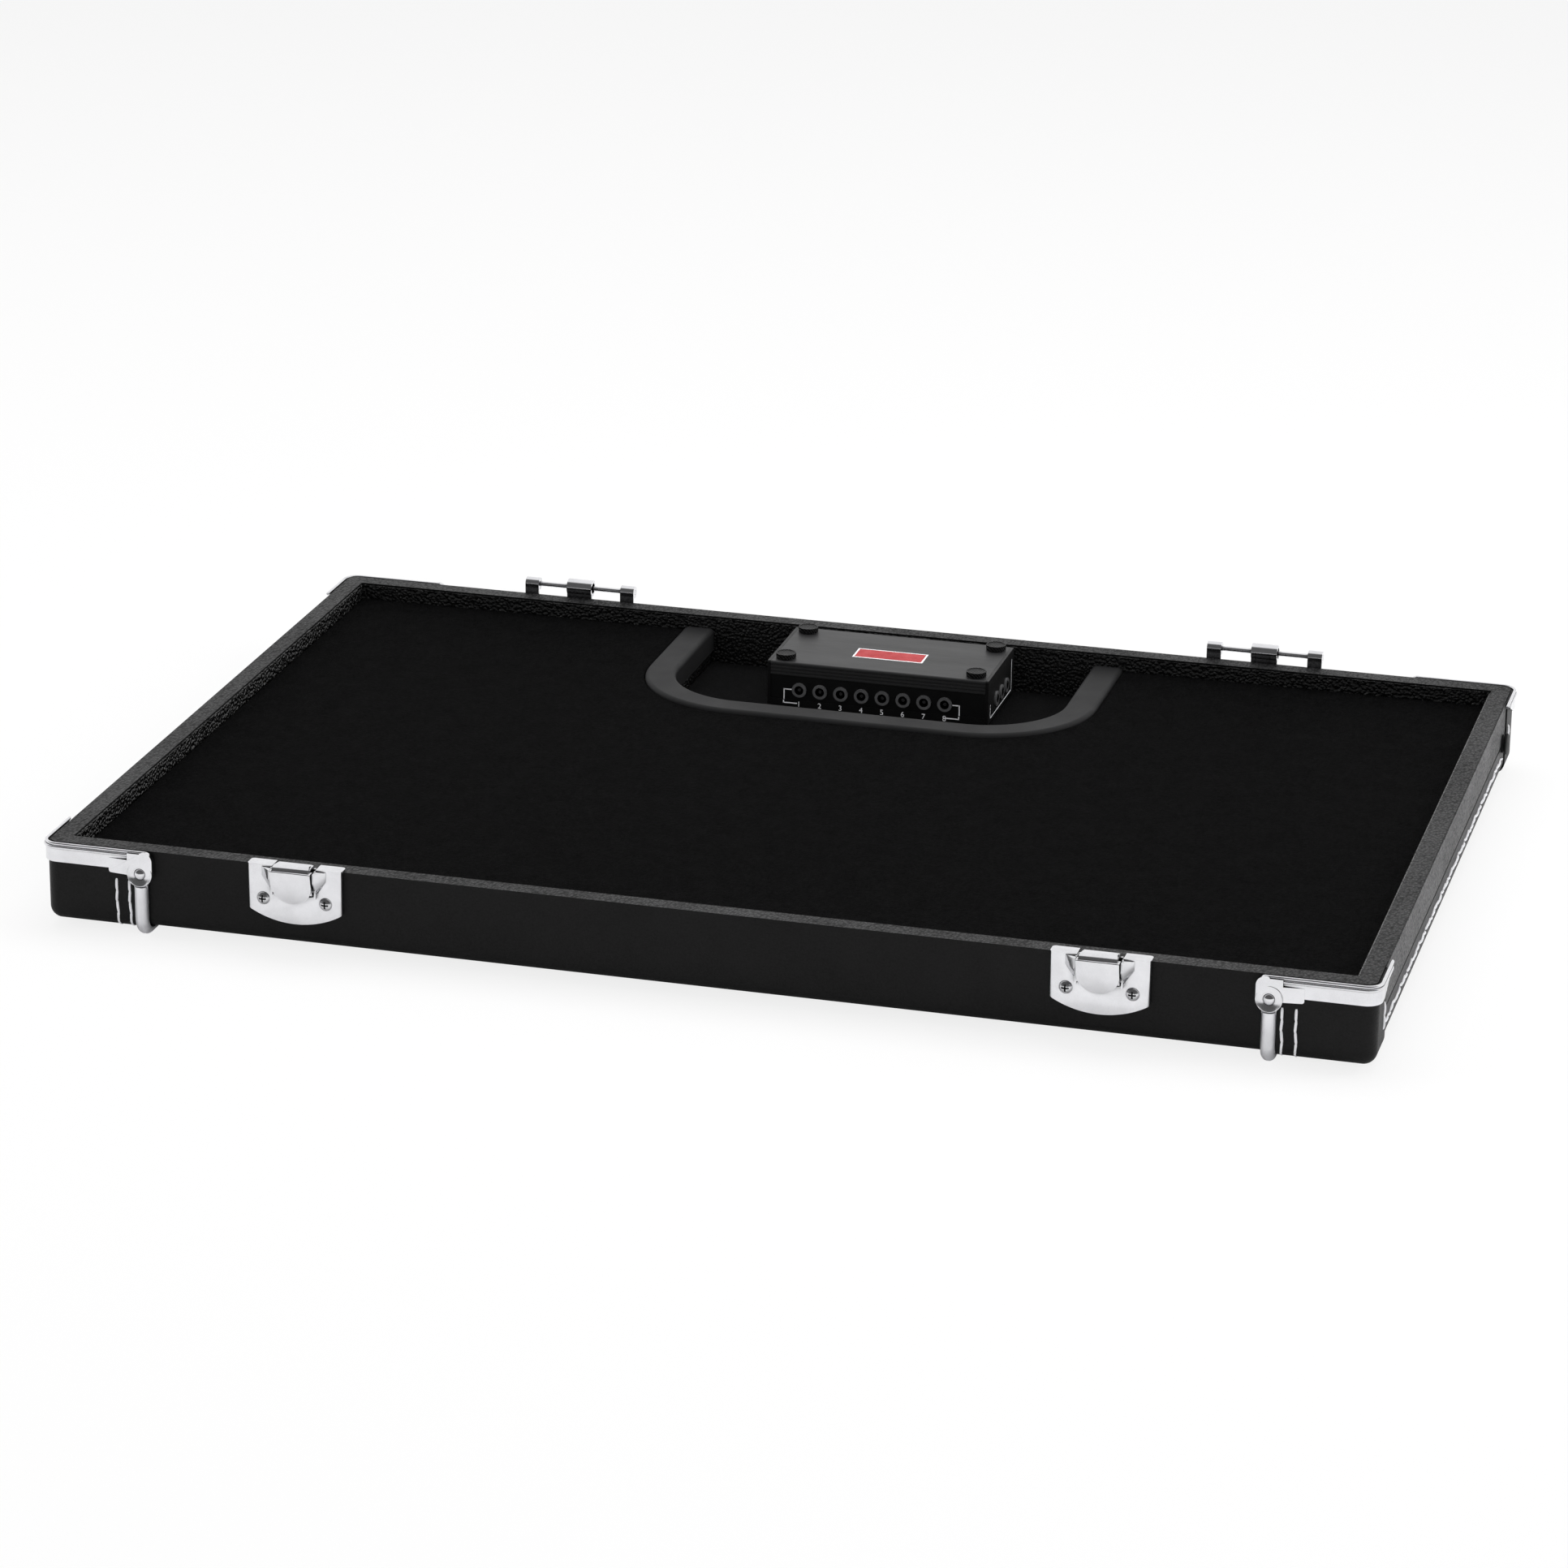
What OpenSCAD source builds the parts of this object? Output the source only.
// Lower tray of a guitar pedal case: a vinyl covered plywood tray with lift-off hinge halves,
// spring hook latches, nickel corner hardware, a carpeted pedal deck and a power supply.
// X runs along the width, Y from the latches to the hinges, Z up from the runners' undersides.

/* [Tray] */
// Outer width of the tray, end to end
tray_w = 740; // [640:1:900]
// Outer depth of the tray, front to back
tray_d = 500; // [440:1:620]
// Height of the tray from its underside to its rim
tray_h = 45; // [43:0.5:60]
// Thickness of the plywood walls
wall_t = 9; // [7:0.5:12]
// Thickness of the plywood bottom panel
panel_t = 6; // [4:0.5:8]
// Thickness of the vinyl covering
skin_t = 1; // [0.6:0.1:1.4]
// Radius of the tray's outer upright corners
corner_r = 6; // [6:0.5:10]
// Radius of the tray's inner upright corners
inner_r = 1; // [0.5:0.5:2]
// Radius of the tray's lower edges
edge_r = 6; // [4:0.5:6]
// Thickness of the lining on the inside of the walls
lining_t = 1; // [0.6:0.1:1.5]

/* [End coverings] */
// Thickness of the second layer of vinyl on each end wall
band_t = 0.6; // [0.4:0.1:1]
// Height of the seam between the upper and the lower band
seam_z = 20.8; // [18:0.2:24]
// Width of the seam
seam_w = 1.2; // [0.6:0.1:2]

/* [Pedal deck] */
// Depth of the carpet's face below the rim
deck_drop = 9.4; // [7:0.2:12]
// Thickness of the deck board
deck_t = 9; // [6:0.5:10]
// Thickness of the loop carpet
carpet_t = 4; // [3:0.5:6]
// Gap between the deck and the lined walls
deck_gap = 0.5; // [0.3:0.1:2]
// Width of the battens under the deck
batten_w = 18; // [12:1:30]

/* [Power supply bay] */
// Sideways place of the bay's centre
bay_x = -6; // [-20:0.5:20]
// Width of the bay between the insides of its trim
bay_w = 241; // [200:1:280]
// Depth of the bay from the deck's back edge to the inside of the trim
bay_d = 126.5; // [110:0.5:160]
// Radius of the bay's front corners, inside the trim
bay_r = 50; // [30:1:60]
// Width of the moulded trim
trim_w = 19; // [12:0.5:20]
// Height of the trim's crown above the carpet
trim_rise = 1.8; // [0.5:0.1:3]
// Thickness of the trim's inner lip
trim_lip = 1.6; // [1:0.1:3]
// Thickness of the wall around the bay
surround_t = 9; // [6:0.5:12]
// Height of the bay's floor block above the bottom panel
block_h = 7.2; // [4:0.1:9]
// Thickness of the mat on the bay's floor
mat_t = 1.5; // [1:0.1:3]

/* [Power supply] */
// Sideways place of the power supply's centre
psu_x = -2.4; // [-20:0.1:20]
// Width of the power supply
psu_w = 138; // [125:0.5:170]
// Depth of the power supply
psu_d = 68.5; // [60:0.5:72]
// Height of the power supply
psu_h = 28; // [26:0.5:36]
// Gap between the power supply and the deck's back edge
psu_gap = 6.4; // [5:0.2:20]
// Height of the ribbed skirts of the cover
skirt_h = 8.4; // [7:0.2:10]
// Thickness of the power supply's sheet and extrusion
psu_t = 2; // [1.6:0.1:2.4]
// Thickness of each half of the hook and loop pads
pad_t = 1.3; // [0.8:0.1:2]
// Number of supply sockets along the front
jack_count = 8; // [2:1:8]
// Spacing of the supply sockets
jack_pitch = 13; // [11:0.2:14]
// Sideways place of the middle of the row of sockets, from the supply's centre
jack_x = -3.5; // [-6:0.5:6]
// Height of the sockets' centres above the supply's underside
jack_z = 10.6; // [10:0.2:12]
// Outer diameter of a socket's bush
jack_od = 9; // [8:0.2:10]
// Bore of a socket
jack_bore = 5.6; // [5:0.1:6.5]
// Diameter of a socket's centre pin
jack_pin = 2.1; // [1.3:0.1:2.5]
// Diameter of a thumb screw's head
thumb_d = 12.2; // [10:0.2:14]
// Thickness of a thumb screw's head
thumb_h = 3; // [2:0.2:5]
// Diameter of a thumb screw's thread
thumb_thread = 4; // [3:0.5:5]
// Distance of the thumb screws from the supply's ends
thumb_in_x = 9.6; // [8:0.2:14]
// Distance of the thumb screws from the supply's front and back
thumb_in_y = 8; // [7:0.2:12]

/* [Corner hardware] */
// Thickness of the leather corner patches
leather_t = 1.4; // [1:0.1:2]
// Length of a leather patch along the front or the back
leather_front = 58; // [52:1:70]
// Length of a leather patch along an end
leather_side = 28; // [22:1:34]
// Thickness of the metal corner strips
strip_t = 1.5; // [1:0.1:2]
// Height of a corner strip's band
strip_h = 11; // [10:0.5:14]
// Reach of a corner strip along an end wall
strip_side = 38; // [32:1:45]
// Distance of the runners from the ends of the tray
runner_in = 55.5; // [52:0.5:62]
// Width of a half round runner
runner_w = 7.8; // [6:0.1:9]
// Thickness of a half round runner
runner_t = 4; // [3:0.1:5]
// Length of a runner under the tray
runner_run = 32; // [20:1:60]
// Diameter of the rivets' heads
rivet_d = 6.6; // [5:0.2:8]
// Diameter of the bumpers on the end walls
bumper_d = 13; // [10:0.5:16]
// Distance of the bumpers from the back of the tray
bumper_in = 38; // [36:0.5:60]

/* [Latches] */
// Distance of each latch's centre from the tray's end
latch_in = 145.7; // [110:0.1:220]
// Width of a latch's base plate
latch_w = 54.4; // [50:0.2:60]
// How far the base plate's face stands off the front
latch_face = 4.2; // [3.4:0.1:5]
// Thickness of the latch's sheet metal
latch_t = 1.2; // [0.8:0.1:1.5]
// Reach of the base plate's shoulders over the rim
shoulder_l = 4.5; // [4.5:0.5:10]
// Width of the hook lever
lever_w = 23.4; // [20:0.2:25]
// How far the top of the hook lever stands off the front
lever_out = 12; // [10:0.1:14]
// Height of the hook lever's pivot below the rim
pivot_drop = 11; // [9:0.2:12]
// Diameter of the lever's pin
pivot_d = 2.4; // [2:0.1:3]

/* [Hinges] */
// Distance of each hinge's centre from the tray's end
hinge_in = 151.8; // [110:0.2:220]
// Width of a hinge half over its knuckles
hinge_w = 71; // [64:0.5:90]
// Height of each hinge leaf below the rim
leaf_h = 31; // [26:0.5:36]
// Thickness of the hinge leaf
leaf_t = 1.5; // [1:0.1:2]
// Diameter of the hinge rod
rod_d = 3; // [2.5:0.1:4]
// Outer diameter of the end knuckles
knuckle_d = 7.5; // [6.5:0.1:9]
// Outer diameter of the middle knuckle
boss_d = 10; // [9:0.1:12]
// Height of the rod above the rim
rod_rise = 5.7; // [5.3:0.1:8]

/* [Screws] */
// Diameter of the latch and hinge screws' heads
screw_head = 7.6; // [6:0.2:9]
// Diameter of the latch and hinge screws' shanks
screw_d = 3; // [2.5:0.1:3.5]

/* [Hidden] */
$fn = 48;

// Clearances
clear = 0.1;      // between a pin or screw and its hole
soft_gap = 0.3;   // between soft pieces

// Tray, worked out
half_w = tray_w / 2;
wall_in = wall_t + 2 * skin_t;
floor_z = skin_t + panel_t;
foot_h = leather_t + runner_t;

// Deck, worked out
carpet_top = tray_h - deck_drop;
board_top = carpet_top - carpet_t;
board_z = board_top - deck_t;
deck_in = wall_in + lining_t + deck_gap;
bay_back = tray_d - deck_in;
bay_half = bay_w / 2;
bay_y = bay_back - bay_d;
block_top = floor_z + block_h;
mat_top = block_top + mat_t;

// Power supply, worked out
psu_z = mat_top + 2 * pad_t;
psu_top = psu_z + psu_h;
psu_y = bay_back - psu_gap - psu_d;
psu_mid = psu_y + psu_d / 2;
pad_in = 12;
panel_back = 1;          // the front panel's face behind the cover's
face_t = 1.5;
thumb_gap = 0.5;         // from the cover to a thumb screw's head
jack_l = 10;
jack_lip = 1.2;
board_t = 1.6;
board_low = jack_z - jack_od / 2 - board_t;
lip_h = psu_t + 2;        // height of the base's front lip
end_gap = 2.8;           // between the board and the end plates
post_in = 14;

// Latches, worked out
plate_low = 31.7;        // below the rim, to the foot of the arch
plate_side_low = 24;     // below the rim, to the lower corners
window_low = 15;         // below the rim, to the foot of the plate's window
ear_t = 1;
ear_gap = 0.3;           // between the lever and each ear
notch_w = lever_w + 2 * (ear_t + ear_gap);
pin_l = notch_w + 1.2;
latch_x = half_w - latch_in;
pivot_z = tray_h - pivot_drop;
pivot_out = latch_face + 0.2;
lever_low = tray_h - 18.8;
lever_top = tray_h + 0.8;
lever_foot = latch_face + 3.4;
lever_t = latch_t + 0.2;
cheek_t = 1.2;
hook_rise = 3.6;         // height of the hook's crown above the rim
hook_r = 3.4;            // radius of the hook's bend
screw_side = 18;
screw_z = tray_h - 18.2;

// Hinges, worked out
hinge_x = half_w - hinge_in;
rod_y = tray_d + knuckle_d / 2;
rod_z = tray_h + rod_rise;
hinge_out = rod_y + boss_d / 2 - tray_d;
leaf_low = tray_h - leaf_h;
knuckle_l = 8.8;
boss_l = 16;
boss_dish = 2;           // depth of the hollow in each end of the middle knuckle
hinge_screw_x = [-24, 0, 24];
hinge_screw_z = leaf_low + 9;

// Corner hardware, worked out
rivet_shank = 3;
rivet_z = tray_h - 12.6;
lobe_r = 7.2;
lobe_out = leather_t + 2.8;
rivet_seat = lobe_out - 0.5;
step_drop = 2.6;         // from the strip's lower edge to the lower edge of its step
tab_t = 1.2;
tab_l = 12;
bumper_z = seam_z + 0.9;

// The origin stands under the middle of the whole object, at the runners' undersides.
frame_y = -(tray_d + hinge_out - lever_out) / 2;

module place() {
    translate([0, frame_y, foot_h]) children();
}

// Puts a child drawn at the left end at the right end too.
module both_ends() {
    children();
    mirror([1, 0, 0]) children();
}

// Puts a child drawn for the front left corner at one of the four corners.
module at_corner(sx, sy) {
    place()
        translate([0, sy > 0 ? tray_d : 0, 0])
            mirror([sx > 0 ? 1 : 0, 0, 0])
                mirror([0, sy > 0 ? 1 : 0, 0])
                    children();
}

// Rectangle in plan with round corners.
module round_rect(x0, x1, y0, y1, r) {
    translate([x0 + r, y0]) square([x1 - x0 - 2 * r, y1 - y0]);
    translate([x0, y0 + r]) square([x1 - x0, y1 - y0 - 2 * r]);
    for (x = [x0 + r, x1 - r])
        for (y = [y0 + r, y1 - r])
            translate([x, y]) circle(r = r);
}

// Straight run of a wall section along X. The section's x is the distance from the corner's centre.
module run_front(x0, x1) {
    translate([x1, corner_r, 0])
        rotate([0, 0, -90])
            rotate([90, 0, 0])
                linear_extrude(x1 - x0) children();
}

// Straight run of a wall section along the left end.
module run_left(y0, y1) {
    translate([-half_w + corner_r, y1, 0])
        rotate([90, 0, 0])
            linear_extrude(y1 - y0) mirror([1, 0]) children();
}

// Quarter turn of a wall section at the front left corner.
module turn_front_left() {
    translate([-half_w + corner_r, corner_r, 0])
        rotate([0, 0, 180])
            rotate_extrude(angle = 90) children();
}

// Section of the tray's side from x0 out to its face, rounded below, with every face set in.
module side_section(x0, inset) {
    r = edge_r - inset;
    outer = corner_r - inset;
    difference() {
        translate([x0, inset]) square([outer - x0, tray_h - 2 * inset]);
        difference() {
            translate([outer - r, inset - 1]) square([r + 1, r + 1]);
            translate([outer - r, edge_r]) circle(r = r);
        }
    }
}

// Section of a plywood wall, under its covering.
module ply_section() {
    side_section(corner_r - wall_in + skin_t, skin_t);
}

// The tray's whole outer form as a block, with every face set in.
module tray_block(inset) {
    for (m = [0, 1])
        translate([0, m * tray_d, 0])
            mirror([0, m, 0]) {
                run_front(-half_w + corner_r, half_w - corner_r) side_section(0, inset);
                both_ends() turn_front_left() side_section(0, inset);
            }
    both_ends() run_left(corner_r, tray_d - corner_r) side_section(0, inset);
    translate([-half_w + corner_r, corner_r, inset])
        cube([tray_w - 2 * corner_r, tray_d - 2 * corner_r, tray_h - 2 * inset]);
}

// Upright block that fills the tray's inside up to a given depth from its outer faces.
module inside_block(depth, r, top) {
    translate([0, 0, -1])
        linear_extrude(top + 1) round_rect(-half_w + depth, half_w - depth, depth, tray_d - depth, r);
}

// Blind bore into a wall's plywood from its outer face, along Y.
module wall_bore(d) {
    rotate([90, 0, 0]) cylinder(d = d + 2 * clear, h = 2 * (skin_t + wall_t), center = true);
}

// Bores in the front and back walls for the screws and rivets.
module wall_holes() {
    for (s = [-1, 1])
        for (x = [-screw_side, screw_side])
            translate([s * latch_x + x, 0, screw_z]) wall_bore(screw_d);
    for (x = [-half_w + runner_in, half_w - runner_in])
        for (y = [0, tray_d])
            translate([x, y, rivet_z]) wall_bore(rivet_shank);
    for (s = [-1, 1])
        for (x = hinge_screw_x)
            translate([s * hinge_x + x, tray_d, hinge_screw_z]) wall_bore(screw_d);
}

// Bores in the end walls for the bumpers' screws.
module end_holes() {
    for (s = [-1, 1])
        translate([s * half_w, tray_d - bumper_in, bumper_z]) rotate([0, 0, 90]) wall_bore(screw_d);
}

// ---- Tray -------------------------------------------------------------------------------

module bottom_panel() {
    color("burlywood")
        place()
            difference() {
                translate([0, 0, skin_t])
                    linear_extrude(panel_t)
                        round_rect(-half_w + skin_t + wall_t, half_w - skin_t - wall_t,
                            skin_t + wall_t, tray_d - skin_t - wall_t, inner_r + skin_t);
                runner_screw_holes();
            }
}

module front_wall() {
    color("burlywood")
        place()
            difference() {
                run_front(-half_w + wall_in - skin_t, half_w - wall_in + skin_t) ply_section();
                wall_holes();
            }
}

module back_wall() {
    color("burlywood")
        place()
            difference() {
                translate([0, tray_d, 0])
                    mirror([0, 1, 0])
                        run_front(-half_w + wall_in - skin_t, half_w - wall_in + skin_t) ply_section();
                wall_holes();
            }
}

module end_wall() {
    difference() {
        intersection() {
            tray_block(skin_t);
            translate([-half_w, 0, 0]) cube([wall_in - skin_t, tray_d, tray_h]);
        }
        end_holes();
    }
}

module left_wall() {
    color("burlywood") place() end_wall();
}

module right_wall() {
    color("burlywood") place() mirror([1, 0, 0]) end_wall();
}

module outer_covering() {
    color([0.13, 0.13, 0.14])
        place()
            difference() {
                tray_block(0);
                difference() {
                    tray_block(skin_t);
                    inside_block(wall_in - skin_t, inner_r + skin_t, 2 * tray_h);
                }
                inside_block(wall_in, inner_r, 2 * tray_h);
                inside_block(wall_in - skin_t, inner_r + skin_t, floor_z);
                wall_holes();
                end_holes();
            }
}

module bottom_covering() {
    color([0.12, 0.12, 0.13])
        place()
            difference() {
                linear_extrude(skin_t)
                    round_rect(-half_w + wall_in - skin_t, half_w - wall_in + skin_t,
                        wall_in - skin_t, tray_d - wall_in + skin_t, inner_r + skin_t);
                runner_screw_holes();
            }
}

module end_band(z0, z1) {
    difference() {
        translate([-half_w - band_t, leather_side + 1, z0])
            cube([band_t, tray_d - 2 * leather_side - 2, z1 - z0]);
        end_holes();
    }
}

module upper_end_bands() {
    color([0.3, 0.31, 0.32])
        place() both_ends() end_band(seam_z + seam_w / 2, tray_h - 0.6);
}

module lower_end_bands() {
    color([0.2, 0.2, 0.21])
        place() both_ends() end_band(edge_r + 0.2, seam_z - seam_w / 2);
}

module wall_lining() {
    color([0.08, 0.08, 0.09])
        place()
            translate([0, 0, floor_z])
                linear_extrude(tray_h - 1 - floor_z)
                    difference() {
                        round_rect(-half_w + wall_in, half_w - wall_in, wall_in, tray_d - wall_in, inner_r);
                        translate([-half_w + wall_in + lining_t, wall_in + lining_t])
                            square([tray_w - 2 * (wall_in + lining_t), tray_d - 2 * (wall_in + lining_t)]);
                    }
}

// ---- Deck and bay ---------------------------------------------------------------------------

// Plan of the bay, grown by g on its front and sides and cut off at the back by the deck's edge.
module bay_plan(g, back) {
    r = bay_r + g;
    x0 = bay_x - bay_half - g;
    x1 = bay_x + bay_half + g;
    y0 = bay_y - g;
    translate([x0, y0 + r]) square([x1 - x0, back - y0 - r]);
    translate([x0 + r, y0]) square([x1 - x0 - 2 * r, r + 1]);
    for (x = [x0 + r, x1 - r])
        translate([x, y0 + r]) circle(r = r, $fn = 96);
}

module deck_plan() {
    translate([-half_w + deck_in, deck_in]) square([tray_w - 2 * deck_in, tray_d - 2 * deck_in]);
}

module deck_board() {
    color("burlywood")
        place()
            translate([0, 0, board_z])
                linear_extrude(deck_t)
                    difference() {
                        deck_plan();
                        bay_plan(trim_lip + clear, tray_d);
                    }
}

module deck_carpet() {
    color([0.09, 0.09, 0.1])
        place()
            translate([0, 0, board_top])
                linear_extrude(carpet_t)
                    difference() {
                        deck_plan();
                        bay_plan(trim_w + soft_gap, tray_d);
                    }
}

// Section of the trim: a domed strip on the board's edge with a lip down its cut face.
module trim_section() {
    crown = carpet_t + trim_rise;
    r = min(3, crown / 2 - 0.1);
    translate([bay_r, 0]) {
        translate([0, board_top]) square([trim_w, crown - r]);
        translate([r, board_top]) square([trim_w - 2 * r, crown]);
        for (x = [r, trim_w - r])
            translate([x, board_top + crown - r]) circle(r = r);
        translate([0, board_z + 1]) square([trim_lip, deck_t]);
    }
}

module bay_trim() {
    side_y = bay_y + bay_r;
    front_x0 = bay_x - bay_half + bay_r;
    front_x1 = bay_x + bay_half - bay_r;
    color([0.28, 0.29, 0.3])
        place() {
            translate([front_x1, side_y, 0])
                rotate([0, 0, -90])
                    rotate([90, 0, 0])
                        linear_extrude(front_x1 - front_x0) trim_section();
            for (corner = [[front_x0, 180], [front_x1, 270]])
                translate([corner[0], side_y, 0])
                    rotate([0, 0, corner[1]]) rotate_extrude(angle = 90, $fn = 96) trim_section();
            translate([front_x0, bay_back, 0])
                rotate([90, 0, 0])
                    linear_extrude(bay_back - side_y) mirror([1, 0]) trim_section();
            translate([front_x1, bay_back, 0])
                rotate([90, 0, 0])
                    linear_extrude(bay_back - side_y) trim_section();
        }
}

// Battens that carry the deck along the front, the ends and the back, and one in the middle.
module deck_battens() {
    h = board_z - floor_z;
    x0 = -half_w + deck_in + deck_gap;
    y0 = deck_in + deck_gap;
    l = tray_w - 2 * (deck_in + deck_gap);
    d = tray_d - 2 * (deck_in + deck_gap);
    back_l = -x0 - batten_w - 2 - abs(bay_x) - bay_half - trim_lip - surround_t - 4;
    color("tan")
        place()
            translate([0, 0, floor_z]) {
                difference() {
                    translate([x0, y0, 0]) cube([l, batten_w, h]);
                    runner_screw_room();
                }
                both_ends() {
                    translate([x0, y0 + batten_w + 2, 0]) cube([batten_w, d - batten_w - 2, h]);
                    translate([x0 + batten_w + 2, y0 + d - batten_w, 0]) cube([back_l, batten_w, h]);
                }
                translate([x0 + batten_w + 2, tray_d / 2 - batten_w, 0])
                    cube([l - 2 * batten_w - 4, batten_w, h]);
            }
}

// Wall around the bay between the bottom panel and the deck board.
module bay_surround() {
    color([0.2, 0.2, 0.21])
        place()
            translate([0, 0, floor_z])
                linear_extrude(board_z - floor_z)
                    difference() {
                        bay_plan(trim_lip + surround_t, bay_back);
                        bay_plan(trim_lip, tray_d);
                    }
}

module bay_block() {
    color("burlywood")
        place()
            translate([0, 0, floor_z])
                linear_extrude(block_h) bay_plan(trim_lip - clear, bay_back);
}

module bay_mat() {
    color([0.33, 0.34, 0.35])
        place()
            translate([0, 0, block_top])
                linear_extrude(mat_t) bay_plan(trim_lip - soft_gap, bay_back);
}

// ---- Power supply ------------------------------------------------------------------------------

// Puts a child at the middle of the power supply's width.
module at_psu() {
    place() translate([psu_x, 0, 0]) children();
}

module psu_pad(z) {
    translate([-psu_w / 2 + pad_in, psu_y + pad_in, z])
        cube([psu_w - 2 * pad_in, psu_d - 2 * pad_in, pad_t]);
}

module psu_loop_pad() {
    color([0.1, 0.1, 0.1]) at_psu() psu_pad(mat_top);
}

module psu_hook_pad() {
    color([0.15, 0.15, 0.15]) at_psu() psu_pad(mat_top + pad_t);
}

// Places a child at one of the thumb screws, by its signs along the width and the depth.
module at_thumb(sx, sy) {
    translate([sx * (psu_w / 2 - thumb_in_x), psu_mid + sy * (psu_d / 2 - thumb_in_y), psu_top]) children();
}

// Places a child at all four thumb screws.
module at_thumbs() {
    for (sx = [-1, 1])
        for (sy = [-1, 1])
            at_thumb(sx, sy) children();
}

// Base: a shallow channel with a rear wall and four posts for the board.
module psu_base() {
    inner = psu_w - 2 * psu_t;
    color([0.1, 0.1, 0.11])
        at_psu()
            translate([-inner / 2, psu_y, psu_z]) {
                cube([inner, psu_d, psu_t]);
                cube([inner, psu_t, lip_h]);
                translate([0, psu_d - psu_t, 0]) cube([inner, psu_t, psu_h - skirt_h]);
                for (x = [post_in, inner - post_in])
                    for (y = [post_in, psu_d - post_in])
                        translate([x, y, 0]) cylinder(d = 5, h = board_low);
            }
}

// Section of the extruded cover in Y and Z: a top with ribbed skirts at the front and the back.
module cover_section() {
    r = 1.2;
    groove = 0.8;
    difference() {
        union() {
            translate([0, -skirt_h]) square([psu_d, skirt_h - r]);
            translate([r, -skirt_h]) square([psu_d - 2 * r, skirt_h]);
            for (y = [r, psu_d - r])
                translate([y, -r]) circle(r = r);
        }
        translate([psu_t + 0.8, -skirt_h - 1]) square([psu_d - 2 * psu_t - 1.6, skirt_h + 1 - psu_t]);
        for (i = [0 : 2])
            for (y = [0, psu_d])
                translate([y, -2.4 - 2.1 * i]) square([2 * groove, groove], center = true);
    }
}

module psu_cover() {
    boss_h = 6;
    color([0.3, 0.31, 0.32])
        at_psu()
            difference() {
                union() {
                    translate([-psu_w / 2 + psu_t, psu_y, psu_top])
                        rotate([90, 0, 90])
                            linear_extrude(psu_w - 2 * psu_t) cover_section();
                    at_thumbs() translate([0, 0, -boss_h]) cylinder(d = thumb_thread + 4, h = boss_h - 1);
                }
                at_thumbs() translate([0, 0, -boss_h - 1]) cylinder(d = thumb_thread + clear, h = boss_h + 2);
            }
}

// Places a child at each supply socket, with its mouth towards the front.
module at_jacks() {
    for (i = [0 : jack_count - 1])
        translate([jack_x + (i - (jack_count - 1) / 2) * jack_pitch, psu_y + panel_back, psu_z + jack_z])
            rotate([90, 0, 0]) children();
}

// Places a child at each socket on the right end.
module at_end_jacks() {
    for (i = [-1 : 1])
        translate([psu_w / 2, psu_mid + i * jack_pitch, psu_z + jack_z])
            rotate([0, 90, 0]) rotate([0, 0, 90]) children();
}

module psu_front_panel() {
    w = psu_w - 2 * psu_t;
    color([0.04, 0.04, 0.045])
        at_psu()
            difference() {
                translate([-w / 2, psu_y + panel_back, psu_z + lip_h])
                    cube([w, face_t, psu_h - skirt_h - lip_h]);
                at_jacks() cylinder(d = jack_od + 2 * clear, h = jack_l, center = true);
            }
}

module psu_end() {
    r = 1.2;
    rotate([90, 0, 90])
        linear_extrude(psu_t)
            translate([0, psu_z]) round_rect(psu_y, psu_y + psu_d, 0, psu_h, r);
}

module psu_left_end() {
    color([0.06, 0.06, 0.065])
        at_psu() translate([-psu_w / 2, 0, 0]) psu_end();
}

module psu_right_end() {
    color([0.06, 0.06, 0.065])
        at_psu()
            difference() {
                translate([psu_w / 2 - psu_t, 0, 0]) psu_end();
                at_end_jacks() cylinder(d = jack_od + 2 * clear, h = jack_l, center = true);
            }
}

// Circuit board: it lies on the base's posts and carries the sockets.
module psu_board() {
    y0 = psu_y + panel_back + face_t + soft_gap;
    color([0.1, 0.35, 0.18])
        at_psu()
            translate([-psu_w / 2 + end_gap + psu_t, y0, psu_z + board_low])
                cube([psu_w - 2 * psu_t - 2 * end_gap, psu_y + psu_d - psu_t - end_gap - y0, board_t]);
}

// Power socket: a bush that stands proud of its panel, a closed body and a centre pin.
module jack() {
    difference() {
        union() {
            translate([0, 0, -psu_t]) cylinder(d = jack_od, h = psu_t + jack_lip);
            translate([-jack_od / 2, -jack_od / 2, -jack_l]) cube([jack_od, jack_od, jack_l - psu_t]);
        }
        translate([0, 0, -jack_l + 1.5]) cylinder(d = jack_bore, h = jack_l + jack_lip);
    }
    translate([0, 0, -jack_l + 1]) cylinder(d = jack_pin, h = jack_l - 1);
}

module psu_jacks() {
    color([0.12, 0.12, 0.13]) at_psu() at_jacks() jack();
}

module psu_end_jacks() {
    color([0.12, 0.12, 0.13]) at_psu() at_end_jacks() jack();
}

// Thumb screw: a round head with bevelled rims on a collar, and its thread below.
module thumb_screw(sx, sy) {
    bevel = 0.5;
    r = thumb_d / 2;
    collar = r / 2 + 0.6;
    thread = thumb_thread / 2;
    top = thumb_gap + thumb_h;
    seat = 0.05;
    color([0.07, 0.07, 0.075])
        at_psu()
            at_thumb(sx, sy)
                rotate_extrude()
                    polygon([[0, -5.5], [thread, -5.5], [thread, seat], [collar, seat], [collar, thumb_gap],
                        [r - bevel, thumb_gap], [r, thumb_gap + bevel], [r, top - bevel], [r - bevel, top],
                        [0, top]]);
}

module thumb_screw_fl() { thumb_screw(-1, -1); }
module thumb_screw_fr() { thumb_screw(1, -1); }
module thumb_screw_bl() { thumb_screw(-1, 1); }
module thumb_screw_br() { thumb_screw(1, 1); }

// ---- Corners ------------------------------------------------------------------------------------

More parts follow.
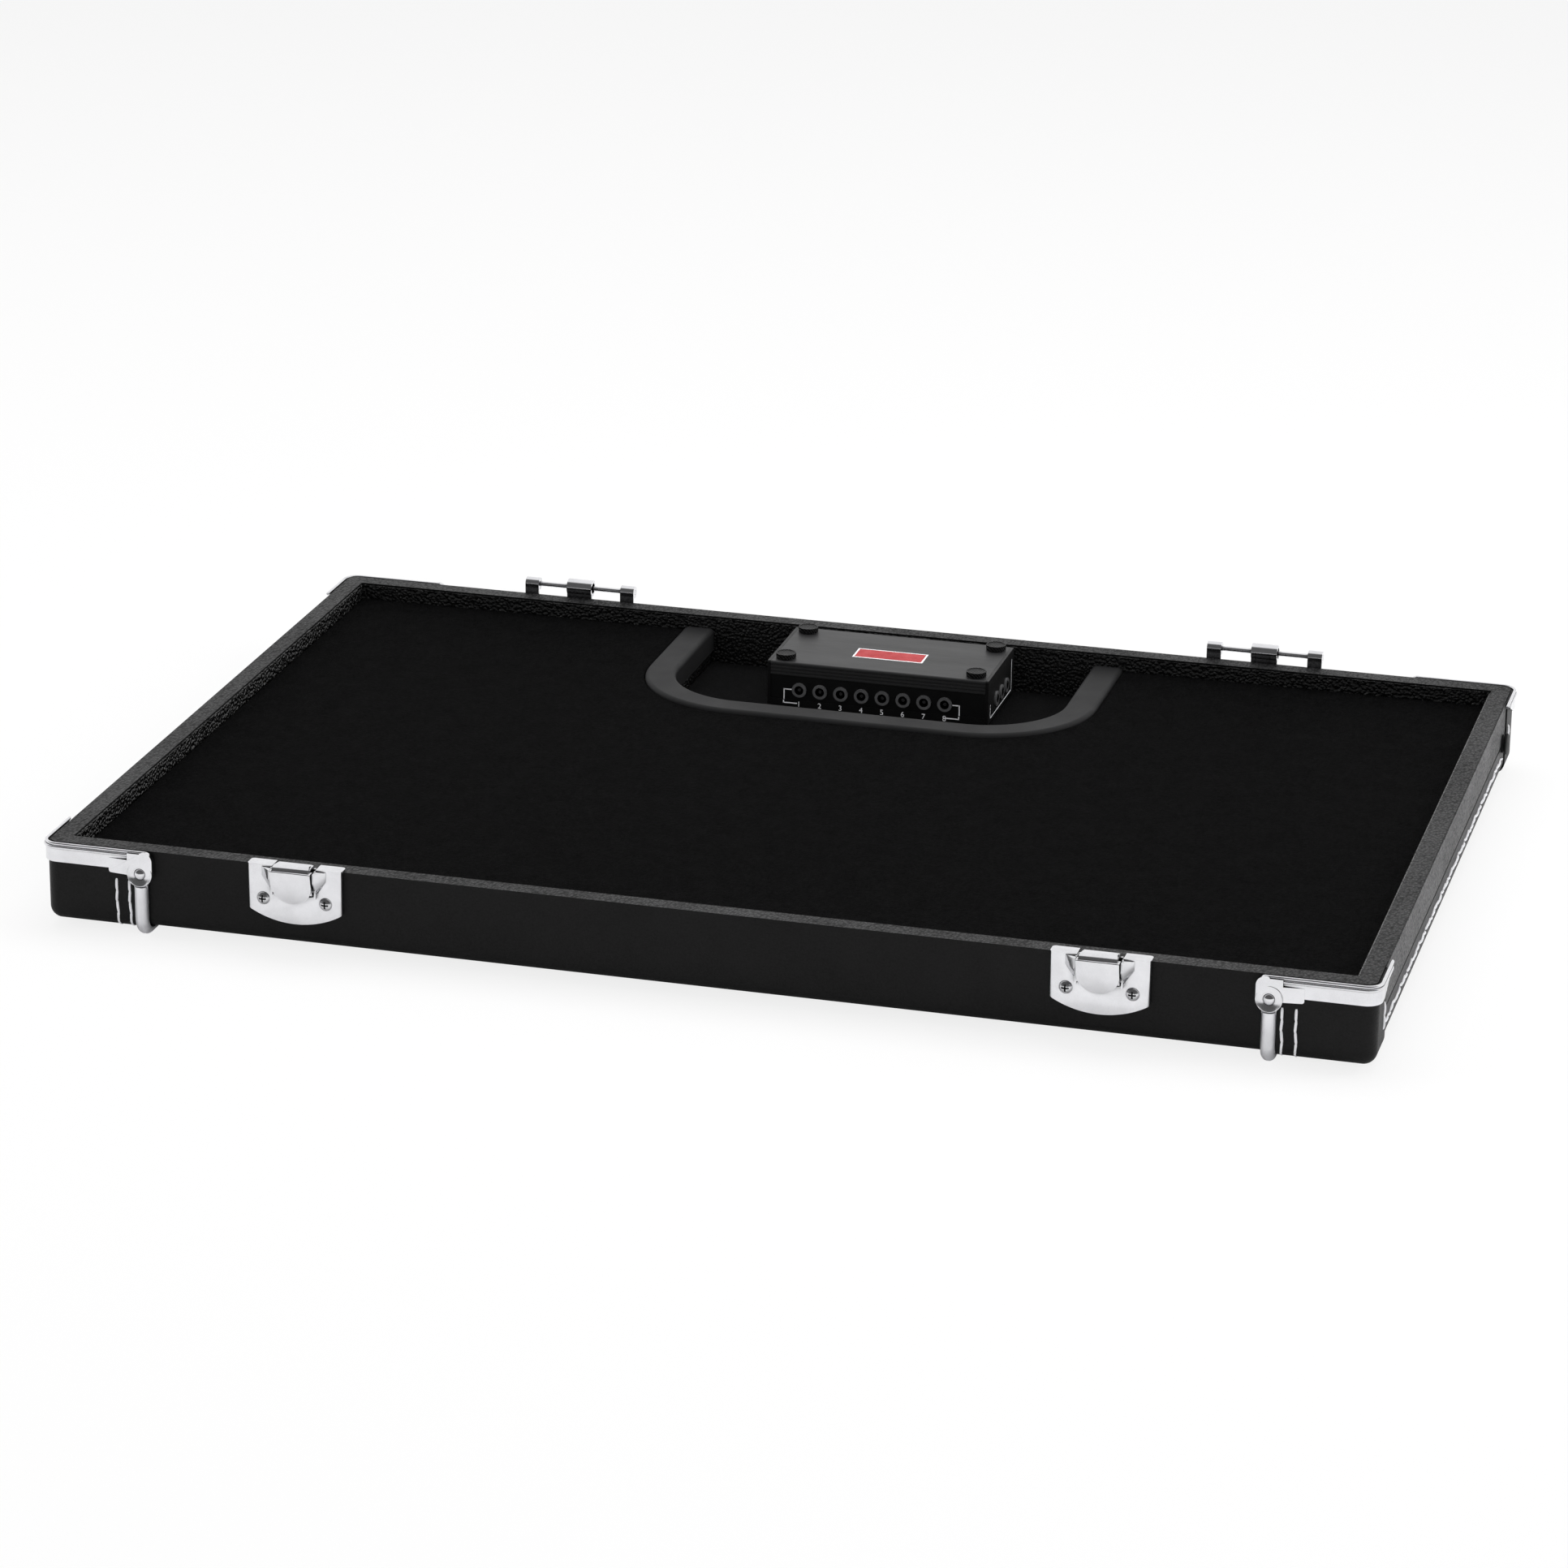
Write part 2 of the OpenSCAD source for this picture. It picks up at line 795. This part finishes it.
// Section of the leather: up the wall and round the tray's lower edge.
module leather_section() {
    bend = corner_r - edge_r;
    translate([corner_r, edge_r]) square([leather_t, tray_h - 1 - edge_r]);
    if (bend > 0)
        translate([0, -leather_t]) square([bend, leather_t]);
    translate([bend, edge_r])
        difference() {
            circle(r = edge_r + leather_t);
            circle(r = edge_r);
            translate([-2 * tray_h, 0]) square([4 * tray_h, 2 * tray_h]);
            translate([-2 * tray_h, -tray_h]) square([2 * tray_h, 2 * tray_h]);
        }
}

// Corner patch, with a flap under the tray that reaches past the runner's end.
module leather_patch(sx, sy) {
    x1 = -half_w + leather_front;
    color([0.14, 0.14, 0.15])
        at_corner(sx, sy)
            difference() {
                union() {
                    run_front(-half_w + corner_r, x1) leather_section();
                    turn_front_left() leather_section();
                    run_left(corner_r, leather_side) leather_section();
                    translate([0, 0, -leather_t])
                        linear_extrude(leather_t)
                            translate([-half_w + corner_r, corner_r])
                                square([x1 + half_w - corner_r, edge_r + runner_run + tab_l + 4 - corner_r]);
                }
                translate([-half_w + runner_in, 0, rivet_z]) wall_bore(rivet_shank);
                at_runner_screws()
                    translate([0, 0, -2 * leather_t]) cylinder(d = screw_d + 2 * clear, h = 4 * leather_t);
            }
}

module leather_patch_fl() { leather_patch(-1, -1); }
module leather_patch_fr() { leather_patch(1, -1); }
module leather_patch_bl() { leather_patch(-1, 1); }
module leather_patch_br() { leather_patch(1, 1); }

// Section of a corner strip: a flat band with two beads along its top.
module strip_section() {
    u = corner_r + leather_t;
    bead = 0.9;
    translate([u, tray_h - strip_h]) square([strip_t, strip_h - 1]);
    translate([u + bead, tray_h - 0.6]) circle(r = bead);
    translate([u + strip_t, tray_h - 2.4]) circle(r = bead);
}

// Face of the lobe, drawn with x along the front and y up, centred on the rivet. A deeper step of
// the band runs on from it towards the corner.
module lobe_face() {
    step_l = 18.5;
    step_low = tray_h - strip_h - step_drop - rivet_z;
    circle(r = lobe_r);
    translate([-lobe_r, 0]) square([2 * lobe_r, tray_h - 5 - rivet_z]);
    translate([-step_l, step_low + 1.5]) square([step_l, strip_h + step_drop - 6.5]);
    translate([-step_l + 1.5, step_low]) square([step_l - 1.5, 3]);
    translate([-step_l + 1.5, step_low + 1.5]) circle(r = 1.5);
    intersection() {
        translate([lobe_r - 5, tray_h - 5 - rivet_z]) circle(r = 5);
        translate([0, 0]) square([lobe_r, tray_h - rivet_z]);
    }
    translate([-lobe_r, tray_h - 6 - rivet_z]) square([2 * lobe_r - 5, 5]);
}

module corner_strip(sx, sy) {
    color([0.86, 0.87, 0.88])
        at_corner(sx, sy)
            difference() {
                union() {
                    run_front(-half_w + corner_r, -half_w + runner_in + 3) strip_section();
                    turn_front_left() strip_section();
                    difference() {
                        run_left(corner_r, strip_side) strip_section();
                        translate([-half_w - 5, 0, 0])
                            rotate([90, 0, 90])
                                linear_extrude(10)
                                    polygon([[corner_r + 6, 0], [corner_r + 6, tray_h - strip_h],
                                        [strip_side, tray_h], [strip_side + 1, 0]]);
                    }
                    translate([-half_w + runner_in, -leather_t, rivet_z])
                        rotate([90, 0, 0]) linear_extrude(lobe_out - leather_t) lobe_face();
                }
                translate([-half_w + runner_in, 0, rivet_z]) wall_bore(rivet_shank);
                translate([-half_w + runner_in, -rivet_seat, rivet_z])
                    rotate([90, 0, 0]) cylinder(d = rivet_d + 1.6, h = 5);
                translate([-half_w + runner_in - runner_w / 2 - clear, -leather_t - tab_t - clear, 0])
                    cube([runner_w + 2 * clear, tab_t + clear + 1, rivet_z + 4.2]);
            }
}

module corner_strip_fl() { corner_strip(-1, -1); }
module corner_strip_fr() { corner_strip(1, -1); }
module corner_strip_bl() { corner_strip(-1, 1); }
module corner_strip_br() { corner_strip(1, 1); }

// Half round section of a runner, with its flat face at x = 0.
module half_round() {
    r = runner_w / 2;
    flat = max(runner_t - r, 0.2);
    intersection() {
        union() {
            translate([0, -r]) square([flat, runner_w]);
            translate([flat, 0]) circle(r = r);
        }
        translate([0, -r]) square([runner_t, runner_w]);
    }
}

// Runner: a flat tab under the lobe, the half round bar down the wall, round the edge and
// under the tray, and a flat tab with a screw at its end.
module runner(sx, sy) {
    r_in = edge_r + leather_t;
    bar_top = rivet_z - lobe_r - 0.4;
    color([0.85, 0.86, 0.87])
        at_corner(sx, sy)
            translate([-half_w + runner_in, edge_r, 0])
                difference() {
                    union() {
                        translate([0, -r_in, edge_r])
                            rotate([0, 0, -90]) linear_extrude(bar_top - edge_r) half_round();
                        translate([0, 0, edge_r])
                            rotate([0, 90, 0])
                                rotate([0, 0, 180 + 90])
                                    rotate_extrude(angle = 90)
                                        translate([r_in, 0]) half_round();
                        translate([0, 0, -leather_t])
                            rotate([-90, 0, 0]) rotate([0, 0, 90]) linear_extrude(runner_run) half_round();
                        translate([-runner_w / 2, -r_in - tab_t, bar_top - 1])
                            cube([runner_w, tab_t, rivet_z + 4 - bar_top + 1]);
                        translate([-runner_w / 2, runner_run - 1, -leather_t - tab_t])
                            cube([runner_w, tab_l + 1, tab_t]);
                    }
                    translate([0, 0, rivet_z])
                        rotate([90, 0, 0]) cylinder(d = rivet_shank + 2 * clear, h = 2 * (r_in + tab_t));
                    translate([0, runner_run + tab_l - 5, -6])
                        cylinder(d = screw_d + 2 * clear, h = 12);
                }
}

module runner_fl() { runner(-1, -1); }
module runner_fr() { runner(1, -1); }
module runner_bl() { runner(-1, 1); }
module runner_br() { runner(1, 1); }

// Where the screws at the ends of the runners go through the tray's bottom.
module at_runner_screws() {
    for (x = [-half_w + runner_in, half_w - runner_in]) {
        translate([x, edge_r + runner_run + tab_l - 5, 0]) children();
        translate([x, tray_d - edge_r - runner_run - tab_l + 5, 0]) children();
    }
}

module runner_screw_holes() {
    at_runner_screws() translate([0, 0, -1]) cylinder(d = screw_d + 2 * clear, h = floor_z + 3);
}

module runner_screw_room() {
    at_runner_screws() translate([0, 0, -1]) cylinder(d = screw_d + 2, h = 3);
}

module runner_screws() {
    under = -leather_t - tab_t;
    color([0.8, 0.81, 0.82])
        place()
            at_runner_screws()
                translate([0, 0, under]) {
                    translate([0, 0, -1.6]) cylinder(d1 = 4.4, d2 = 6, h = 1.6);
                    cylinder(d = screw_d, h = floor_z - 1 - under);
                }
}

// Domed rivet with its shank, pointing along +Z.
module rivet(shank) {
    rise = 2.2;
    r = (pow(rivet_d / 2, 2) + rise * rise) / (2 * rise);
    intersection() {
        translate([0, 0, rise - r]) sphere(r = r);
        cylinder(d = rivet_d, h = rise);
    }
    translate([0, 0, -shank]) cylinder(d = rivet_shank, h = shank + 0.5);
}

module corner_rivets() {
    color([0.88, 0.88, 0.9])
        for (sx = [-1, 1])
            for (sy = [-1, 1])
                at_corner(sx, sy)
                    translate([-half_w + runner_in, -rivet_seat, rivet_z])
                        rotate([90, 0, 0]) rivet(rivet_seat + skin_t + wall_t);
}

// Bumper: two discs with a groove between them, on a screw.
module bumper() {
    r = bumper_d / 2;
    rotate_extrude()
        polygon([[0, -8], [screw_d / 2, -8], [screw_d / 2, 0], [r - 1, 0], [r - 0.8, 0.8], [r - 1.6, 1.2],
            [r - 1.6, 1.8], [r - 0.4, 2], [r, 2.5], [r - 0.3, 3.2], [r - 1.6, 3.6], [0, 3.8]]);
}

module end_bumpers() {
    color([0.06, 0.06, 0.065])
        place()
            both_ends()
                translate([-half_w - band_t, tray_d - bumper_in, bumper_z]) rotate([0, -90, 0]) bumper();
}

// ---- Screws --------------------------------------------------------------------------------------

// Pan head screw with a cross recess, pointing along +Z.
module pan_screw(shank) {
    rise = 2.2;
    r = (pow(screw_head / 2, 2) + rise * rise) / (2 * rise);
    difference() {
        intersection() {
            translate([0, 0, rise - r]) sphere(r = r);
            cylinder(d = screw_head, h = rise);
        }
        for (a = [0, 90])
            rotate([0, 0, a]) translate([0, 0, rise]) cube([4.2, 0.9, 2.4], center = true);
    }
    translate([0, 0, -shank]) cylinder(d = screw_d, h = shank + 0.3);
}

module latch_screws() {
    color([0.8, 0.8, 0.82])
        place()
            for (s = [-1, 1])
                for (x = [-screw_side, screw_side])
                    translate([s * latch_x + x, -latch_face, screw_z])
                        rotate([90, 0, 0]) pan_screw(latch_face + wall_t);
}

module hinge_screws() {
    color([0.8, 0.8, 0.82])
        place()
            for (s = [-1, 1])
                for (x = hinge_screw_x)
                    translate([s * hinge_x + x, tray_d + leaf_t, hinge_screw_z])
                        rotate([-90, 0, 0]) pan_screw(leaf_t + wall_t);
}

// ---- Latches -------------------------------------------------------------------------------------

module at_latch(s) {
    place() translate([s * latch_x, 0, 0]) children();
}

// Face of the base plate, with x along the front and y up: straight sides and an arched foot.
module plate_face() {
    low = tray_h - plate_low;
    side = tray_h - plate_side_low;
    sag = side - low;
    half = latch_w / 2;
    r = (half * half + sag * sag) / (2 * sag);
    intersection() {
        translate([-half, low]) square([latch_w, tray_h + latch_t - low]);
        translate([0, low + r]) circle(r = r, $fn = 96);
    }
}

// Plan of the base plate's pressing: a flat face with rounded sides bent back to the wall.
module plate_plan(inset) {
    half = latch_w / 2 - inset;
    r = 2.4 - inset;
    front = latch_face - inset;
    translate([-half, -front + r]) square([2 * half, front - r + 1]);
    translate([-half + r, -front]) square([2 * half - 2 * r, front]);
    for (x = [-half + r, half - r])
        translate([x, -front + r]) circle(r = r);
}

// Opening in the plate for the hook lever. Its sides meet the ears halfway through them.
module plate_window() {
    half = notch_w / 2 - ear_t / 2;
    round_rect(-half, half, tray_h - window_low, 2 * tray_h, 3);
}

// Gusset that flares from an ear of the plate out to the plate's face. It starts inside both.
module flare() {
    x = notch_w / 2 - 0.8 * ear_t;
    y = -latch_face - 0.2;
    rise = tray_h - 5;
    h = 5 + latch_t / 3;
    hull() {
        translate([x, 2.5 - lever_out, rise]) cube([0.8 * ear_t, 1, h]);
        translate([x, y, tray_h - window_low + 2]) cube([0.8 * ear_t, 0.8, window_low - 7 + h]);
        translate([x + 5.8, y, rise]) cube([0.5, 0.8, h]);
    }
}

// Plan of the plate's top: the pressing's outline and the shoulders that lie on the rim.
module shoulder_plan() {
    half = latch_w / 2;
    plate_plan(0);
    translate([-half, -0.5]) square([latch_w, shoulder_l - 1.5]);
    round_rect(-half, half, 0, shoulder_l, 2);
}

module latch_plate(s) {
    window_half = notch_w / 2 - ear_t / 2;
    color([0.86, 0.87, 0.88])
        at_latch(s)
            difference() {
                union() {
                    difference() {
                        intersection() {
                            linear_extrude(tray_h + latch_t / 2) difference() {
                                plate_plan(0);
                                plate_plan(latch_t);
                                translate([-latch_w, 0]) square([2 * latch_w, 5]);
                            }
                            rotate([90, 0, 0]) linear_extrude(3 * latch_face, center = true) plate_face();
                        }
                        rotate([90, 0, 0]) linear_extrude(4 * latch_face, center = true) plate_window();
                    }
                    translate([0, 0, tray_h])
                        linear_extrude(latch_t)
                            difference() {
                                shoulder_plan();
                                translate([-window_half, -latch_face - 1])
                                    square([2 * window_half, latch_face + shoulder_l + 2]);
                            }
                    for (m = [0, 1])
                        mirror([m, 0, 0]) {
                            translate([notch_w / 2 - ear_t, -latch_face - 2, tray_h - window_low])
                                cube([ear_t, latch_face + 2 - soft_gap, window_low + latch_t / 2]);
                            flare();
                        }
                }
                at_pivot() cylinder(d = pivot_d + 2 * clear, h = pin_l + 0.4, center = true);
                for (x = [-screw_side, screw_side])
                    translate([x, 0, screw_z])
                        rotate([90, 0, 0]) cylinder(d = screw_d + 2 * clear, h = 20, center = true);
            }
}

// Puts a child at the lever's pivot, with its axis along the width.
module at_pivot() {
    translate([0, -pivot_out, pivot_z]) rotate([0, 90, 0]) children();
}

module latch_plate_left() { latch_plate(-1); }
module latch_plate_right() { latch_plate(1); }

// Section of the hook lever's sheet, with x outwards from the front and y up: the sloping thumb
// plate, the fold at its top and the hook that reaches back over the rim.
module lever_section() {
    slope = [lever_out - lever_foot, lever_top - lever_low];
    unit = slope / norm(slope);
    inner = [-unit[1], unit[0]] * lever_t;
    foot = [lever_foot, lever_low];
    head = [lever_out, lever_top];
    crown = tray_h + hook_rise;
    polygon([foot, head, head + inner, foot + inner]);
    polygon([head + inner * 0.2, [hook_r + 1.5, crown], [hook_r - 0.1, crown],
        [hook_r - 0.1, crown - lever_t], [hook_r + 1, crown - lever_t], head + inner - unit * 2]);
    intersection() {
        translate([hook_r, crown - hook_r])
            difference() {
                circle(r = hook_r);
                circle(r = hook_r - lever_t);
            }
        translate([0, tray_h + 0.7]) square([hook_r, 2 * hook_r]);
    }
}

// How far the thumb plate's face stands off the front at a height.
function lever_at(z) = lever_foot + (lever_out - lever_foot) * (z - lever_low) / (lever_top - lever_low);

// Outline of the lever seen from the front: a half round foot, straight sides and a narrower hook
// with round corners.
module lever_face() {
    r = lever_w / 2;
    hook_half = r - 1.2;
    round_top = 2.5;
    translate([0, lever_low + r]) circle(r = r);
    translate([-r, lever_low + r]) square([lever_w, lever_top - lever_low - r]);
    round_rect(-hook_half, hook_half, lever_top - 2 * round_top, tray_h + hook_rise, round_top);
}

// Cheek that joins the lever's thumb plate to its pin.
module cheek() {
    eye = pivot_d / 2 + 1.6;
    translate([pivot_out, pivot_z]) circle(r = eye);
    polygon([[pivot_out, pivot_z + eye], [pivot_out + 1, pivot_z - eye + 0.2],
        [lever_at(pivot_z - 1.4) - 0.5, pivot_z - 1.4], [lever_at(pivot_z + 5) - 0.6, pivot_z + 5]]);
}

module hook_lever(s) {
    half = lever_w / 2;
    color([0.88, 0.89, 0.9])
        at_latch(s)
            difference() {
                union() {
                    intersection() {
                        rotate([90, 0, 90])
                            linear_extrude(lever_w, center = true) mirror([1, 0]) lever_section();
                        rotate([90, 0, 0]) linear_extrude(4 * lever_out, center = true) lever_face();
                    }
                    for (x = [-half + 0.2, half - 0.2 - cheek_t])
                        translate([x, 0, 0])
                            rotate([90, 0, 90]) linear_extrude(cheek_t) mirror([1, 0]) cheek();
                }
                at_pivot() cylinder(d = pivot_d + clear, h = 2 * lever_w, center = true);
            }
}

module hook_lever_left() { hook_lever(-1); }
module hook_lever_right() { hook_lever(1); }

module lever_pin(s) {
    color([0.75, 0.76, 0.78])
        at_latch(s) at_pivot() cylinder(d = pivot_d, h = pin_l, center = true);
}

module lever_pin_left() { lever_pin(-1); }
module lever_pin_right() { lever_pin(1); }

// Torsion spring round the pin: a close coil, a leg against the front wall and a leg towards the
// thumb plate.
module lever_spring(s) {
    wire = 0.9;
    turns = 5;
    groove = 0.15;
    inside = pivot_d / 2 + 0.3;
    ring = inside + wire / 2;
    side = (turns - 1) / 2 * wire;
    reach = lever_at(pivot_z - ring) - lever_t - pivot_out - 0.7;
    color([0.7, 0.71, 0.73])
        at_latch(s)
            union() {
                at_pivot()
                    translate([0, 0, -turns * wire / 2])
                        rotate_extrude()
                            polygon([[inside, turns * wire], [inside, 0],
                                for (i = [0 : turns - 1], p = [[groove, 0], [0, 0.2], [0, 0.8], [groove, 1]])
                                    [inside + wire - p[0], (i + p[1]) * wire]]);
                translate([-side, -pivot_out, pivot_z + ring])
                    rotate([-90, 0, 0]) cylinder(d = wire, h = pivot_out);
                translate([side, -pivot_out, pivot_z - ring])
                    rotate([90, 0, 0]) cylinder(d = wire, h = reach);
            }
}

module lever_spring_left() { lever_spring(-1); }
module lever_spring_right() { lever_spring(1); }

// ---- Hinges --------------------------------------------------------------------------------------

module at_hinge(s) {
    place() translate([s * hinge_x, 0, 0]) children();
}

module hinge_half(s) {
    half = hinge_w / 2;
    spans = [[-half, -half + knuckle_l], [half - knuckle_l, half], [-boss_l / 2, boss_l / 2]];
    color([0.8, 0.81, 0.82])
        at_hinge(s)
            difference() {
                union() {
                    translate([0, tray_d + leaf_t, 0])
                        rotate([90, 0, 0])
                            linear_extrude(leaf_t) round_rect(-half, half, leaf_low, tray_h - 0.5, 4);
                    for (span = spans)
                        translate([span[0], tray_d, tray_h - 4])
                            cube([span[1] - span[0], leaf_t, rod_z - tray_h + 4]);
                    for (span = spans) {
                        d = span[1] - span[0] > knuckle_l + 1 ? boss_d : knuckle_d;
                        translate([span[0], rod_y, rod_z])
                            rotate([0, 90, 0]) cylinder(d = d, h = span[1] - span[0]);
                    }
                }
                translate([-half - 1, rod_y, rod_z])
                    rotate([0, 90, 0]) cylinder(d = rod_d + clear, h = hinge_w + 2);
                for (x = [-boss_l / 2 - 1, boss_l / 2 - boss_dish])
                    translate([x, rod_y, rod_z])
                        rotate([0, 90, 0]) cylinder(d = boss_d - 3.4, h = boss_dish + 1);
                for (x = hinge_screw_x)
                    translate([x, tray_d, hinge_screw_z])
                        rotate([90, 0, 0]) cylinder(d = screw_d + 2 * clear, h = 4 * leaf_t, center = true);
            }
}

module hinge_half_left() { hinge_half(-1); }
module hinge_half_right() { hinge_half(1); }

module hinge_rod(s) {
    color([0.78, 0.79, 0.8])
        at_hinge(s)
            translate([-hinge_w / 2, rod_y, rod_z]) rotate([0, 90, 0]) cylinder(d = rod_d, h = hinge_w);
}

module hinge_rod_left() { hinge_rod(-1); }
module hinge_rod_right() { hinge_rod(1); }

bottom_panel();
front_wall();
back_wall();
left_wall();
right_wall();
outer_covering();
bottom_covering();
upper_end_bands();
lower_end_bands();
wall_lining();
deck_board();
deck_carpet();
deck_battens();
bay_surround();
bay_trim();
bay_block();
bay_mat();
psu_loop_pad();
psu_hook_pad();
psu_base();
psu_cover();
psu_front_panel();
psu_left_end();
psu_right_end();
psu_board();
psu_jacks();
psu_end_jacks();
thumb_screw_fl();
thumb_screw_fr();
thumb_screw_bl();
thumb_screw_br();
leather_patch_fl();
leather_patch_fr();
leather_patch_bl();
leather_patch_br();
corner_strip_fl();
corner_strip_fr();
corner_strip_bl();
corner_strip_br();
runner_fl();
runner_fr();
runner_bl();
runner_br();
corner_rivets();
runner_screws();
end_bumpers();
latch_plate_left();
latch_plate_right();
hook_lever_left();
hook_lever_right();
lever_pin_left();
lever_pin_right();
lever_spring_left();
lever_spring_right();
latch_screws();
hinge_half_left();
hinge_half_right();
hinge_rod_left();
hinge_rod_right();
hinge_screws();
